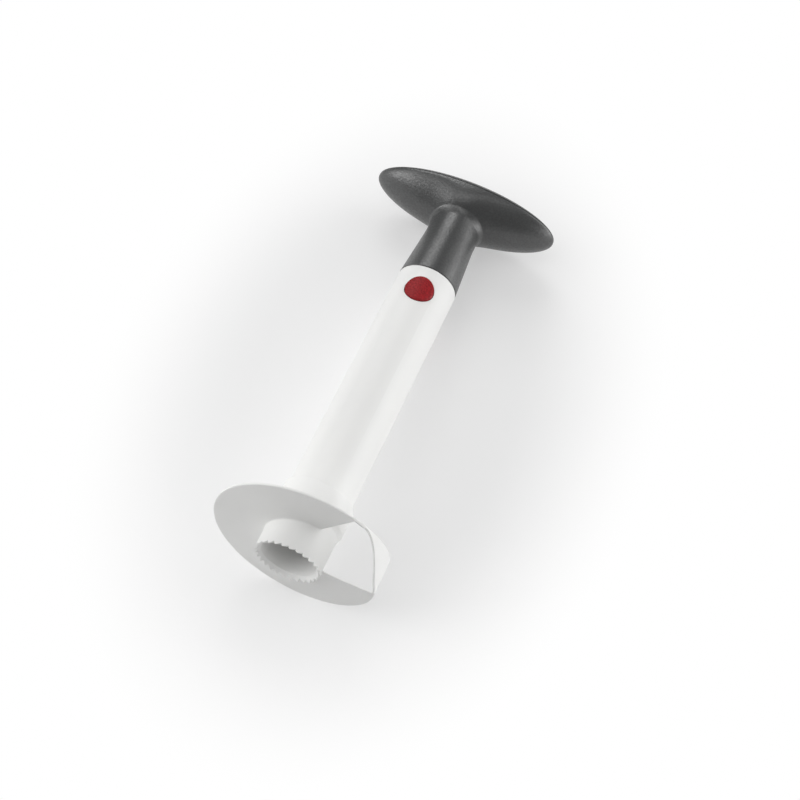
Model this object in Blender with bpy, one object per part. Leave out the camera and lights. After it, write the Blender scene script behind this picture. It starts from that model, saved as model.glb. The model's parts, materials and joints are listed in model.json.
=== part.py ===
"""Pineapple slicer: a toothed corer with a spiral blade on a white tube, and a grip that comes off.

The tool is built upright in its own frame, in metres. Its axis is Z, the cutting edge of the blade
lies at height 0 along +X, and the grip is at the top with its long side along X. One release button
faces -Y and the other +Y. At the end the whole tool is laid down, with the blade's rim and the edge
of the grip on the floor and the front button facing up.
"""

import math

import bmesh
import bpy
from mathutils import Vector

# Clearances, and the overrun of a cut past the surface that it opens
FIT_GAP = 0.0003
CUT_OVERRUN = 0.0020

# Spiral blade: a ramp round the hub, closed by a knife wall where the slice comes through
BLADE_RADIUS = 0.0440
BLADE_PITCH = 0.0166
FLOOR_THICKNESS = 0.0013
RIM_CHAMFER = 0.0005
CUTTING_EDGE_THICKNESS = 0.0004
CUTTING_BEVEL_ANGLE = math.radians(7.0)
RAMP_ANGLE = math.radians(306.0)
RAMP_STEPS = 101
RAMP_ROOT_DEPTH = 0.0012

KNIFE_THICKNESS = 0.0015
KNIFE_TOE_ANGLE = math.radians(8.0)
KNIFE_HEEL_ANGLE = math.radians(46.0)
KNIFE_BACK_ANGLE = math.radians(14.0)
KNIFE_BACK_SHARES = (0.0, 0.35, 0.7, 1.0)
KNIFE_BACK_DROP_SHARE = 0.7
KNIFE_PEAK_RISE = 0.0020
KNIFE_RAMP_LAP_ANGLE = math.radians(5.0)
KNIFE_TOOTH_COUNT = 27
KNIFE_TOOTH_DEPTH = 0.0005
KNIFE_RIM_PROUD = 0.00015
KNIFE_EDGE_THICKNESS = 0.0004
KNIFE_EDGE_INSET = 0.0003
KNIFE_OUTER_BEVEL = 0.0006
KNIFE_INNER_BEVEL = 0.0012

# Hub: a saw ring below the ramp and a socket for the tube above it
SAW_OUTER_RADIUS = 0.0170
SAW_INNER_RADIUS = 0.0145
SAW_TIP_DROP = 0.0029
SAW_TIP_LAND = 0.0004
SAW_BEVEL_HEIGHT = 0.0025
SAW_TOOTH_COUNT = 28
SAW_TOOTH_DEPTH = 0.0014
SAW_RISE_SHARES = (1.0, 0.0, 0.33, 0.67)
SOCKET_FLOOR_HEIGHT = 0.0210
SOCKET_DEPTH = 0.0140
SOCKET_WALL = 0.0017
SOCKET_FLARE_LENGTH = 0.0025

# Core tube
TUBE_RADIUS = 0.0165
TUBE_WALL = 0.0018
TUBE_LENGTH = 0.1560
TUBE_LEAD_IN = 0.0006
ROUND_STEPS = 56

# Two keys carry the torque from the tube to the blade, and two from the grip to the tube
KEY_WIDTH = 0.0040
KEY_PROUD = 0.0008
BLADE_KEY_HEIGHT = 0.0060
GRIP_KEY_LENGTH = 0.0120

# Release buttons: a round head on a flexible tongue, whose foot stands on the spigot's plug
BUTTON_DROP = 0.0150
BUTTON_RADIUS = 0.00775
BUTTON_PROUD = 0.0010
BUTTON_EDGE_ROUND = 0.0006
BUTTON_BACK_LAP = 0.0006
BUTTON_RING_SHARES = (0.70, 0.40, 0.15)
BUTTON_STEPS = 36
TONGUE_WIDTH = 0.0100
TONGUE_THICKNESS = 0.0015
FOOT_WIDTH = 0.0080
FOOT_DEPTH = 0.0032
FOOT_HEIGHT = 0.0070
FOOT_RAIL_THICKNESS = 0.0018

# Spigot: the hollow insert that is screwed into the grip and plugs into the tube
SPIGOT_WALL = 0.0018
SPIGOT_REACH = 0.0493
SPIGOT_NECK_LENGTH = 0.0220
SPIGOT_DECK = 0.0026
PLUG_FLANGE = 0.0020
PLUG_LIP_HEIGHT = 0.0030

# Screws that hold the spigot against the web inside the stem
SCREW_COUNT = 3
SCREW_INSET = 0.0042
SCREW_SHANK_RADIUS = 0.0015
SCREW_LENGTH = 0.0110
SCREW_HEAD_RADIUS = 0.0028
SCREW_HEAD_HEIGHT = 0.0021
SCREW_SLOT_WIDTH = 0.0008
SCREW_SLOT_DEPTH = 0.0010
SCREW_STEPS = 16
BOSS_WALL = 0.0014
BOSS_HEIGHT = 0.0095

# Grip: an oval, lens-shaped handle on a round stem
GRIP_HALF_LENGTH = 0.0525
GRIP_SIDE_OVERHANG = 0.0053
GRIP_RISE = 0.0581
GRIP_BELLY_DEPTH = 0.0162
GRIP_BELLY_EXPONENT = 1.5
GRIP_DOME_RISE = 0.0100
GRIP_DOME_EXPONENT = 1.6
GRIP_FLAT_SHARE = 0.26
GRIP_SEAM_RISE = 0.0006
GRIP_WALL = 0.0022
GRIP_ROUND_STEPS = 56
GRIP_PROFILE_STEPS = 9
STEM_TAPER = 0.0023
STEM_TAPER_LENGTH = 0.0320
STEM_WALL = 0.0012
WEB_LEDGE = 0.0018
WEB_THICKNESS = 0.0025
CAP_LIP_DEPTH = 0.0020
CAP_LIP_INSET = 0.0036
CAP_LIP_WALL = 0.0014

# Heights and radii that follow from the sizes above
SAW_TIP_HEIGHT = -SAW_TIP_DROP
HUB_STEPS = SAW_TOOTH_COUNT * len(SAW_RISE_SHARES)
SOCKET_INNER_RADIUS = TUBE_RADIUS + FIT_GAP
SOCKET_OUTER_RADIUS = SOCKET_INNER_RADIUS + SOCKET_WALL
SOCKET_TOP_HEIGHT = SOCKET_FLOOR_HEIGHT + SOCKET_DEPTH
TUBE_BOTTOM_HEIGHT = SOCKET_FLOOR_HEIGHT + FIT_GAP
TUBE_TOP_HEIGHT = TUBE_BOTTOM_HEIGHT + TUBE_LENGTH
TUBE_INNER_RADIUS = TUBE_RADIUS - TUBE_WALL
SPIGOT_RADIUS = TUBE_INNER_RADIUS - FIT_GAP
SPIGOT_INNER_RADIUS = SPIGOT_RADIUS - SPIGOT_WALL
SPIGOT_BOTTOM_HEIGHT = TUBE_TOP_HEIGHT - SPIGOT_REACH
SPIGOT_TOP_HEIGHT = TUBE_TOP_HEIGHT + SPIGOT_NECK_LENGTH
STEM_TOP_RADIUS = TUBE_RADIUS - STEM_TAPER
STEM_BORE_RADIUS = STEM_TOP_RADIUS - STEM_WALL
STEM_UPPER_BORE_RADIUS = STEM_BORE_RADIUS - WEB_LEDGE
STEM_BOTTOM_HEIGHT = TUBE_TOP_HEIGHT + FIT_GAP
SPIGOT_NECK_RADIUS = STEM_BORE_RADIUS - FIT_GAP
SPIGOT_NECK_INNER_RADIUS = SPIGOT_NECK_RADIUS - SPIGOT_WALL
SCREW_CIRCLE_RADIUS = STEM_UPPER_BORE_RADIUS - SCREW_INSET
WEB_HEIGHT = SPIGOT_TOP_HEIGHT + FIT_GAP
WEB_TOP_HEIGHT = WEB_HEIGHT + WEB_THICKNESS
GRIP_HALF_WIDTH = TUBE_RADIUS + GRIP_SIDE_OVERHANG
GRIP_RIM_HEIGHT = TUBE_TOP_HEIGHT + GRIP_RISE
GRIP_SEAM_HEIGHT = GRIP_RIM_HEIGHT + GRIP_SEAM_RISE
CAP_BOTTOM_HEIGHT = GRIP_SEAM_HEIGHT + FIT_GAP
CAP_LIP_BOTTOM_HEIGHT = CAP_BOTTOM_HEIGHT - CAP_LIP_DEPTH
PLUG_LIP_TOP_HEIGHT = SPIGOT_BOTTOM_HEIGHT + PLUG_LIP_HEIGHT
FOOT_BOTTOM_HEIGHT = PLUG_LIP_TOP_HEIGHT + FIT_GAP
FOOT_TOP_HEIGHT = FOOT_BOTTOM_HEIGHT + FOOT_HEIGHT
TONGUE_BOTTOM_HEIGHT = FOOT_BOTTOM_HEIGHT + FOOT_HEIGHT / 2
RAIL_TOP_HEIGHT = TONGUE_BOTTOM_HEIGHT - FIT_GAP
BUTTON_HEIGHT = TUBE_TOP_HEIGHT - BUTTON_DROP
BUTTON_HOLE_RADIUS = BUTTON_RADIUS + FIT_GAP
BUTTON_TOP_REACH = TUBE_RADIUS + BUTTON_PROUD


def seat_reach(width):
    """Distance from the axis at which a part of this width just clears the spigot's bore."""
    clear_radius = SPIGOT_INNER_RADIUS - FIT_GAP
    return math.sqrt(clear_radius ** 2 - (width / 2) ** 2)


TONGUE_REACH = seat_reach(TONGUE_WIDTH)
FOOT_REACH = seat_reach(FOOT_WIDTH)
TONGUE_MIDDLE_REACH = TONGUE_REACH - TONGUE_THICKNESS / 2

# Colours as linear red, green and blue
WHITE_ABS = (0.86, 0.86, 0.84, 1.0)
GREY_GRIP = (0.055, 0.055, 0.057, 1.0)
GREY_INSERT = (0.035, 0.035, 0.037, 1.0)
RED_BUTTON = (0.42, 0.010, 0.013, 1.0)
SCREW_STEEL = (0.56, 0.56, 0.58, 1.0)


# Helpers for materials, meshes and modifiers

def make_material(name, color, roughness, metallic):
    """Return a Principled BSDF material."""
    material = bpy.data.materials.new(name)
    material.use_nodes = True
    shader = material.node_tree.nodes["Principled BSDF"]
    shader.inputs["Base Color"].default_value = color
    shader.inputs["Roughness"].default_value = roughness
    shader.inputs["Metallic"].default_value = metallic
    return material


def add_piece(name, bm, material, parent):
    """Turn a bmesh into a smooth-shaded object with outward faces."""
    bmesh.ops.recalc_face_normals(bm, faces=bm.faces)
    mesh = bpy.data.meshes.new(name)
    bm.to_mesh(mesh)
    bm.free()
    mesh.shade_smooth()
    mesh.set_sharp_from_angle(angle=math.radians(32.0))
    mesh.materials.append(material)
    piece = bpy.data.objects.new(name, mesh)
    bpy.context.scene.collection.objects.link(piece)
    piece.parent = parent
    return piece


def add_cutter(name, bm, material, parent):
    """Add a shape that only cuts or joins other pieces."""
    cutter = add_piece(name, bm, material, parent)
    cutter.hide_render = True
    cutter.display_type = "WIRE"
    return cutter


def combine(piece, other, operation):
    """Add an exact boolean with another shape to a piece."""
    modifier = piece.modifiers.new(other.name, "BOOLEAN")
    modifier.operation = operation
    modifier.solver = "EXACT"
    modifier.object = other
    return modifier


def loft(bm, loops, ring=False):
    """Bridge equal loops of points in order, closed as a ring or capped at both ends."""
    rows = [[bm.verts.new(point) for point in loop] for loop in loops]
    pairs = list(zip(rows, rows[1:]))
    if ring:
        pairs.append((rows[-1], rows[0]))
    for low, high in pairs:
        count = len(low)
        for index in range(count):
            after = (index + 1) % count
            bm.faces.new((low[index], low[after], high[after], high[index]))
    if not ring:
        bm.faces.new(list(reversed(rows[0])))
        bm.faces.new(rows[-1])
    return rows


def circle(radius, height, steps):
    """Points of a level circle round the tool's axis."""
    turns = [math.tau * index / steps for index in range(steps)]
    return [Vector((radius * math.cos(turn), radius * math.sin(turn), height)) for turn in turns]


def turned(profile, steps, ring=False):
    """Bmesh of a solid turned round the axis from (radius, height) pairs."""
    bm = bmesh.new()
    loft(bm, [circle(radius, height, steps) for radius, height in profile], ring)
    return bm


def box(bm, low, high):
    """Add a box between two corners."""
    level = [(low[0], low[1]), (high[0], low[1]), (high[0], high[1]), (low[0], high[1])]
    loft(bm, [[Vector((x, y, z)) for x, y in level] for z in (low[2], high[2])])


def tilt_to_front(bm):
    """Turn a solid that was made along Z so that its top faces -Y."""
    for vert in bm.verts:
        vert.co = Vector((vert.co.x, -vert.co.z, vert.co.y))


# Blade

def ramp_height(angle):
    """Height of the ramp's underside at an angle from the cutting edge."""
    return BLADE_PITCH * angle / math.tau


def ramp_thickness(angle):
    """Thickness of the ramp, which is honed down to the cutting edge."""
    share = min(angle / CUTTING_BEVEL_ANGLE, 1.0)
    return CUTTING_EDGE_THICKNESS + (FLOOR_THICKNESS - CUTTING_EDGE_THICKNESS) * share


def section(angle, corners):
    """Place (radius, height) corners in the half plane at an angle."""
    out = Vector((math.cos(angle), math.sin(angle), 0.0))
    return [out * radius + Vector((0.0, 0.0, height)) for radius, height in corners]


def ramp_mesh():
    """Spiral floor from the cutting edge to its free upper end."""
    root_radius = SAW_OUTER_RADIUS - RAMP_ROOT_DEPTH
    loops = []
    for index in range(RAMP_STEPS + 1):
        angle = RAMP_ANGLE * index / RAMP_STEPS
        thickness = ramp_thickness(angle)
        chamfer = RIM_CHAMFER * thickness / FLOOR_THICKNESS
        low = ramp_height(angle)
        high = low + thickness
        corners = [
            (root_radius, low),
            (BLADE_RADIUS - chamfer, low),
            (BLADE_RADIUS, low + chamfer),
            (BLADE_RADIUS, high),
            (root_radius, high),
        ]
        loops.append(section(angle, corners))
    bm = bmesh.new()
    loft(bm, loops)
    return bm


def knife_angles():
    """Angles ahead of the cutting edge of the knife wall's corners, from its heel to its back."""
    ramp_end = math.tau - RAMP_ANGLE
    half_teeth = 2 * KNIFE_TOOTH_COUNT
    sweep = KNIFE_HEEL_ANGLE - KNIFE_TOE_ANGLE
    teeth = [KNIFE_HEEL_ANGLE - sweep * index / half_teeth for index in range(half_teeth + 1)]
    lap = [ramp_end + KNIFE_RAMP_LAP_ANGLE, ramp_end + KNIFE_RAMP_LAP_ANGLE / 5]
    back = [-KNIFE_BACK_ANGLE * share for share in KNIFE_BACK_SHARES]
    return [*lap, *teeth, *back]


def knife_low(ahead, is_notch):
    """Height of the knife wall's lower edge, at an angle ahead of the cutting edge."""
    if ahead < 0.0:
        return ramp_height(-ahead) + FLOOR_THICKNESS / 2
    if ahead > KNIFE_HEEL_ANGLE:
        return ramp_height(math.tau - ahead) + KNIFE_RIM_PROUD
    share = max((ahead - KNIFE_TOE_ANGLE) / (KNIFE_HEEL_ANGLE - KNIFE_TOE_ANGLE), 0.0)
    eased = share ** 2 * (3.0 - 2.0 * share)
    notch = KNIFE_TOOTH_DEPTH if is_notch else 0.0
    return ramp_height(math.tau - ahead) * eased + notch - KNIFE_RIM_PROUD


def knife_high(ahead, is_first):
    """Height of the knife wall's top: sunk in the ramp at first, a peak over the cutting edge."""
    high = ramp_height(math.tau - max(ahead, 0.0)) + FLOOR_THICKNESS + KNIFE_RIM_PROUD
    if is_first:
        return high - FLOOR_THICKNESS / 2
    if ahead > KNIFE_HEEL_ANGLE:
        return high
    if ahead < 0.0:
        share = -ahead / KNIFE_BACK_ANGLE
        return (high + KNIFE_PEAK_RISE) * (1.0 - KNIFE_BACK_DROP_SHARE * share ** 3)
    return high + KNIFE_PEAK_RISE * (1.0 - ahead / KNIFE_HEEL_ANGLE) ** 2


def knife_bevels(ahead):
    """Heights of the inner and the outer bevel of the knife wall's lower edge."""
    if ahead < 0.0:
        return 0.0, 0.0
    if ahead > KNIFE_HEEL_ANGLE:
        return 0.0, KNIFE_OUTER_BEVEL
    return KNIFE_INNER_BEVEL, KNIFE_OUTER_BEVEL


def knife_mesh():
    """Outer wall that closes the slice's mouth, with a saw-toothed lower edge."""
    inner_radius = BLADE_RADIUS - KNIFE_THICKNESS
    outer_radius = BLADE_RADIUS + KNIFE_RIM_PROUD
    edge_radius = outer_radius - KNIFE_EDGE_INSET
    loops = []
    for index, ahead in enumerate(knife_angles()):
        is_notch = KNIFE_TOE_ANGLE < ahead < KNIFE_HEEL_ANGLE and index % 2 == 1
        low = knife_low(ahead, is_notch)
        high = knife_high(ahead, index == 0)
        inner_bevel, outer_bevel = knife_bevels(ahead)
        corners = [
            (inner_radius, low + inner_bevel),
            (edge_radius - KNIFE_EDGE_THICKNESS, low),
            (edge_radius, low),
            (outer_radius, low + outer_bevel),
            (outer_radius, high),
            (inner_radius, high),
        ]
        loops.append(section(-ahead, corners))
    bm = bmesh.new()
    loft(bm, loops)
    return bm


def saw_loop(tip_radius, draw_in):
    """Points along the raked teeth, each drawn in towards the axis by a multiple of its rise."""
    points = []
    for index in range(HUB_STEPS):
        turn = math.tau * index / HUB_STEPS
        rise = SAW_TOOTH_DEPTH * SAW_RISE_SHARES[index % len(SAW_RISE_SHARES)]
        radius = tip_radius - draw_in * rise
        points.append(Vector((radius * math.cos(turn), radius * math.sin(turn), SAW_TIP_HEIGHT + rise)))
    return points


def hub_mesh():
    """Saw ring and tube socket: one hollow turned body with raked teeth below, bevelled inside."""
    flare_bottom = SOCKET_FLOOR_HEIGHT - SOCKET_FLARE_LENGTH
    land_radius = SAW_OUTER_RADIUS - SAW_TIP_LAND
    bevel_slope = (land_radius - SAW_INNER_RADIUS) / SAW_BEVEL_HEIGHT
    profile = [
        (SAW_OUTER_RADIUS, flare_bottom),
        (SOCKET_OUTER_RADIUS, SOCKET_FLOOR_HEIGHT),
        (SOCKET_OUTER_RADIUS, SOCKET_TOP_HEIGHT),
        (SOCKET_INNER_RADIUS, SOCKET_TOP_HEIGHT),
        (SOCKET_INNER_RADIUS, SOCKET_FLOOR_HEIGHT),
        (SAW_INNER_RADIUS, SOCKET_FLOOR_HEIGHT),
        (SAW_INNER_RADIUS, SAW_TIP_HEIGHT + SAW_BEVEL_HEIGHT),
    ]
    rings = [circle(radius, height, HUB_STEPS) for radius, height in profile]
    bm = bmesh.new()
    loft(bm, [saw_loop(SAW_OUTER_RADIUS, 0.0), *rings, saw_loop(land_radius, bevel_slope)], ring=True)
    return bm


def key_mesh(inner_radius, outer_radius, low, high, width):
    """Two key blocks on the X axis, one each side."""
    bm = bmesh.new()
    for side in (-1.0, 1.0):
        near, far = sorted((side * inner_radius, side * outer_radius))
        box(bm, (near, -width / 2, low), (far, width / 2, high))
    return bm


def build_blade(material, parent):
    """Spiral blade with its saw ring, knife wall and socket in one moulding."""
    blade = add_piece("slicing_blade", hub_mesh(), material, parent)
    ramp = add_cutter("blade_ramp", ramp_mesh(), material, parent)
    combine(blade, ramp, "UNION")
    knife = add_cutter("blade_knife", knife_mesh(), material, parent)
    combine(blade, knife, "UNION")
    keys = key_mesh(TUBE_RADIUS - KEY_PROUD, SOCKET_INNER_RADIUS + SOCKET_WALL / 4,
                    SOCKET_FLOOR_HEIGHT - SOCKET_WALL / 4,
                    SOCKET_FLOOR_HEIGHT + BLADE_KEY_HEIGHT, KEY_WIDTH)
    combine(blade, add_cutter("blade_keys", keys, material, parent), "UNION")
    return blade


# Core tube

def button_hole_mesh(radius):
    """Cutter through both walls for the two release buttons."""
    reach = BUTTON_TOP_REACH + CUT_OVERRUN
    bm = turned([(radius, -reach), (radius, reach)], BUTTON_STEPS)
    tilt_to_front(bm)
    bmesh.ops.translate(bm, verts=bm.verts, vec=(0.0, 0.0, BUTTON_HEIGHT))
    return bm


def build_tube(material, parent):
    """White tube over which the slices gather, open from end to end."""
    profile = [
        (TUBE_RADIUS - TUBE_LEAD_IN, TUBE_BOTTOM_HEIGHT),
        (TUBE_RADIUS, TUBE_BOTTOM_HEIGHT + TUBE_LEAD_IN),
        (TUBE_RADIUS, TUBE_TOP_HEIGHT),
        (TUBE_INNER_RADIUS + TUBE_LEAD_IN, TUBE_TOP_HEIGHT),
        (TUBE_INNER_RADIUS, TUBE_TOP_HEIGHT - TUBE_LEAD_IN),
        (TUBE_INNER_RADIUS, TUBE_BOTTOM_HEIGHT),
    ]
    tube = add_piece("core_tube", turned(profile, ROUND_STEPS, ring=True), material, parent)
    holes = add_cutter("tube_button_holes", button_hole_mesh(BUTTON_HOLE_RADIUS), material, parent)
    combine(tube, holes, "DIFFERENCE")
    slot_width = KEY_WIDTH + 2 * FIT_GAP
    blade_slots = key_mesh(TUBE_RADIUS - KEY_PROUD - FIT_GAP, TUBE_RADIUS + CUT_OVERRUN,
                           TUBE_BOTTOM_HEIGHT - CUT_OVERRUN,
                           SOCKET_FLOOR_HEIGHT + BLADE_KEY_HEIGHT + FIT_GAP, slot_width)
    combine(tube, add_cutter("tube_blade_slots", blade_slots, material, parent), "DIFFERENCE")
    grip_slots = key_mesh(TUBE_INNER_RADIUS - CUT_OVERRUN, SPIGOT_RADIUS + KEY_PROUD + FIT_GAP,
                          TUBE_TOP_HEIGHT - GRIP_KEY_LENGTH - FIT_GAP,
                          TUBE_TOP_HEIGHT + CUT_OVERRUN, slot_width)
    combine(tube, add_cutter("tube_grip_slots", grip_slots, material, parent), "DIFFERENCE")
    return tube


# Spigot, its plug and its screws

def screw_places():
    """Centres of the spigot's screws, on a circle round the axis."""
    radius = SCREW_CIRCLE_RADIUS
    turns = [math.tau * index / SCREW_COUNT for index in range(SCREW_COUNT)]
    return [(radius * math.cos(turn), radius * math.sin(turn)) for turn in turns]


def posts_mesh(radius, low, high):
    """A round post at each screw."""
    bm = bmesh.new()
    for x, y in screw_places():
        shift = Vector((x, y, 0.0))
        ends = [circle(radius, height, SCREW_STEPS) for height in (low, high)]
        loft(bm, [[point + shift for point in end] for end in ends])
    return bm


def rails_mesh():
    """Pairs of rails that guide the foot of each tongue inside the spigot."""
    bm = bmesh.new()
    near = FOOT_WIDTH / 2 + FIT_GAP
    far = near + FOOT_RAIL_THICKNESS
    wall_reach = math.sqrt(SPIGOT_INNER_RADIUS ** 2 - far ** 2) + SPIGOT_WALL / 2
    tip_reach = FOOT_REACH - FOOT_DEPTH
    for front in (-1.0, 1.0):
        low_y, high_y = sorted((front * wall_reach, front * tip_reach))
        for left, right in ((-far, -near), (near, far)):
            box(bm, (left, low_y, FOOT_BOTTOM_HEIGHT), (right, high_y, RAIL_TOP_HEIGHT))
    return bm


def build_spigot(material, parent):
    """Hollow insert, stepped where it leaves the grip, with windows for the buttons."""
    deck_height = SPIGOT_TOP_HEIGHT - SPIGOT_DECK
    profile = [
        (SPIGOT_RADIUS, SPIGOT_BOTTOM_HEIGHT),
        (SPIGOT_RADIUS, TUBE_TOP_HEIGHT),
        (SPIGOT_NECK_RADIUS, TUBE_TOP_HEIGHT),
        (SPIGOT_NECK_RADIUS, SPIGOT_TOP_HEIGHT),
    ]
    hollow = [
        (SPIGOT_INNER_RADIUS, SPIGOT_BOTTOM_HEIGHT - CUT_OVERRUN),
        (SPIGOT_INNER_RADIUS, TUBE_TOP_HEIGHT - SPIGOT_WALL),
        (SPIGOT_NECK_INNER_RADIUS, TUBE_TOP_HEIGHT - SPIGOT_WALL),
        (SPIGOT_NECK_INNER_RADIUS, deck_height),
    ]
    spigot = add_piece("spigot", turned(profile, ROUND_STEPS), material, parent)
    hollow_cutter = add_cutter("spigot_hollow", turned(hollow, ROUND_STEPS), material, parent)
    combine(spigot, hollow_cutter, "DIFFERENCE")
    windows = add_cutter("spigot_windows", button_hole_mesh(BUTTON_HOLE_RADIUS), material, parent)
    combine(spigot, windows, "DIFFERENCE")
    bosses = posts_mesh(SCREW_SHANK_RADIUS + FIT_GAP + BOSS_WALL, deck_height - BOSS_HEIGHT,
                        SPIGOT_TOP_HEIGHT - SPIGOT_DECK / 2)
    combine(spigot, add_cutter("spigot_bosses", bosses, material, parent), "UNION")
    pilots = posts_mesh(SCREW_SHANK_RADIUS + FIT_GAP, deck_height - BOSS_HEIGHT - CUT_OVERRUN,
                        SPIGOT_TOP_HEIGHT + CUT_OVERRUN)
    combine(spigot, add_cutter("spigot_pilots", pilots, material, parent), "DIFFERENCE")
    keys = key_mesh(SPIGOT_RADIUS - SPIGOT_WALL / 2, SPIGOT_RADIUS + KEY_PROUD,
                    TUBE_TOP_HEIGHT - GRIP_KEY_LENGTH, TUBE_TOP_HEIGHT - SPIGOT_WALL / 2, KEY_WIDTH)
    combine(spigot, add_cutter("spigot_keys", keys, material, parent), "UNION")
    combine(spigot, add_cutter("spigot_rails", rails_mesh(), material, parent), "UNION")
    return spigot


def build_plug(material, parent):
    """Cup that closes the spigot's lower end and holds both feet up against the rails."""
    lip_radius = SPIGOT_INNER_RADIUS - FIT_GAP
    top = SPIGOT_BOTTOM_HEIGHT - FIT_GAP
    profile = [
        (SPIGOT_RADIUS, top - PLUG_FLANGE),
        (SPIGOT_RADIUS, top),
        (lip_radius, top),
        (lip_radius, PLUG_LIP_TOP_HEIGHT),
        (lip_radius - FOOT_DEPTH, PLUG_LIP_TOP_HEIGHT),
        (lip_radius - FOOT_DEPTH, top),
    ]
    return add_piece("spigot_plug", turned(profile, ROUND_STEPS), material, parent)


def screw_mesh():
    """Pan-head screw standing on the web, before it is moved to its place."""
    seat = WEB_TOP_HEIGHT + FIT_GAP
    crown_radius = SCREW_HEAD_RADIUS - SCREW_HEAD_HEIGHT / 3
    profile = [
        (SCREW_SHANK_RADIUS / 2, seat - SCREW_LENGTH),
        (SCREW_SHANK_RADIUS, seat - SCREW_LENGTH + SCREW_SHANK_RADIUS),
        (SCREW_SHANK_RADIUS, seat),
        (SCREW_HEAD_RADIUS, seat),
        (SCREW_HEAD_RADIUS, seat + SCREW_HEAD_HEIGHT * 2 / 3),
        (crown_radius, seat + SCREW_HEAD_HEIGHT),
    ]
    return turned(profile, SCREW_STEPS)


def cross_mesh(head_top):
    """Cutter in the shape of a plus sign for the recess in a screw's head."""
    reach = SCREW_SHANK_RADIUS
    slot = SCREW_SLOT_WIDTH / 2
    arm = [(reach, -slot), (reach, slot), (slot, slot)]
    outline = []
    for quarter in range(4):
        turn = math.tau * quarter / 4
        across = math.cos(turn)
        along = math.sin(turn)
        outline += [(x * across - y * along, x * along + y * across) for x, y in arm]
    bm = bmesh.new()
    heights = (head_top - SCREW_SLOT_DEPTH, head_top + CUT_OVERRUN)
    loft(bm, [[Vector((x, y, height)) for x, y in outline] for height in heights])
    return bm


def build_screws(material, parent):
    """Screws through the stem's web into the spigot's bosses, with crossed slots in their heads."""
    seat = WEB_TOP_HEIGHT + FIT_GAP
    for number, (x, y) in enumerate(screw_places(), start=1):
        place = (x, y, 0.0)
        bm = screw_mesh()
        bmesh.ops.translate(bm, verts=bm.verts, vec=place)
        screw = add_piece("spigot_screw_%d" % number, bm, material, parent)
        cross = cross_mesh(seat + SCREW_HEAD_HEIGHT)
        bmesh.ops.translate(cross, verts=cross.verts, vec=place)
        combine(screw, add_cutter("screw_cross_%d" % number, cross, material, parent), "DIFFERENCE")


# Release buttons

def button_face_point(radius, turn, sink):
    """Point on a button's face, which follows the tube's curve, sunk below it by a depth."""
    x = radius * math.cos(turn)
    reach = math.sqrt(BUTTON_TOP_REACH ** 2 - x ** 2) - sink
    return Vector((x, -reach, BUTTON_HEIGHT + radius * math.sin(turn)))


def button_head_mesh():
    """Round head from the tongue out through the tube's wall, curved like the tube."""
    turns = [math.tau * index / BUTTON_STEPS for index in range(BUTTON_STEPS)]
    back = -(TONGUE_REACH - BUTTON_BACK_LAP)
    centre = Vector((0.0, back, BUTTON_HEIGHT))
    arms = [Vector((math.cos(turn), 0.0, math.sin(turn))) for turn in turns]
    loops = [[centre + arm * BUTTON_RADIUS for arm in arms]]
    for bend in (0.0, math.radians(30.0), math.radians(60.0), math.radians(90.0)):
        radius = BUTTON_RADIUS - BUTTON_EDGE_ROUND * (1.0 - math.cos(bend))
        sink = BUTTON_EDGE_ROUND * (1.0 - math.sin(bend))
        loops.append([button_face_point(radius, turn, sink) for turn in turns])
    for share in BUTTON_RING_SHARES:
        radius = (BUTTON_RADIUS - BUTTON_EDGE_ROUND) * share
        loops.append([button_face_point(radius, turn, 0.0) for turn in turns])
    bm = bmesh.new()
    loft(bm, loops)
    return bm


def tongue_mesh():
    """Flexible tongue up to the head, and the foot block at its lower end."""
    bm = bmesh.new()
    box(bm, (-TONGUE_WIDTH / 2, -TONGUE_REACH, TONGUE_BOTTOM_HEIGHT),
        (TONGUE_WIDTH / 2, -TONGUE_REACH + TONGUE_THICKNESS, BUTTON_HEIGHT + TONGUE_WIDTH / 2))
    return bm


def foot_mesh():
    """Foot block that stands on the plug between two rails."""
    bm = bmesh.new()
    box(bm, (-FOOT_WIDTH / 2, -FOOT_REACH, FOOT_BOTTOM_HEIGHT),
        (FOOT_WIDTH / 2, -FOOT_REACH + FOOT_DEPTH, FOOT_TOP_HEIGHT))
    return bm


def build_button(side_name, turn, material, parent):
    """One release button on a hinge line across its tongue, just above the foot."""
    hinge = bpy.data.objects.new("button_hinge_%s" % side_name, None)
    bpy.context.scene.collection.objects.link(hinge)
    hinge.parent = parent
    pivot = Vector((0.0, -TONGUE_MIDDLE_REACH, FOOT_TOP_HEIGHT))
    hinge.rotation_euler.z = turn
    hinge.location = (-pivot.y * math.sin(turn), pivot.y * math.cos(turn), pivot.z)
    shapes = []
    for mesh_maker in (button_head_mesh, tongue_mesh, foot_mesh):
        bm = mesh_maker()
        bmesh.ops.translate(bm, verts=bm.verts, vec=-pivot)
        shapes.append(bm)
    head, tongue, foot = shapes
    button = add_piece("release_button_%s" % side_name, head, material, hinge)
    combine(button, add_cutter("tongue_%s" % side_name, tongue, material, hinge), "UNION")
    combine(button, add_cutter("foot_%s" % side_name, foot, material, hinge), "UNION")
    return button


# Grip

def oval(half_length, half_width, height):
    """Points of a level oval round the axis."""
    turns = [math.tau * index / GRIP_ROUND_STEPS for index in range(GRIP_ROUND_STEPS)]
    arms = [(math.cos(turn), math.sin(turn)) for turn in turns]
    return [Vector((half_length * x, half_width * y, height)) for x, y in arms]


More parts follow.
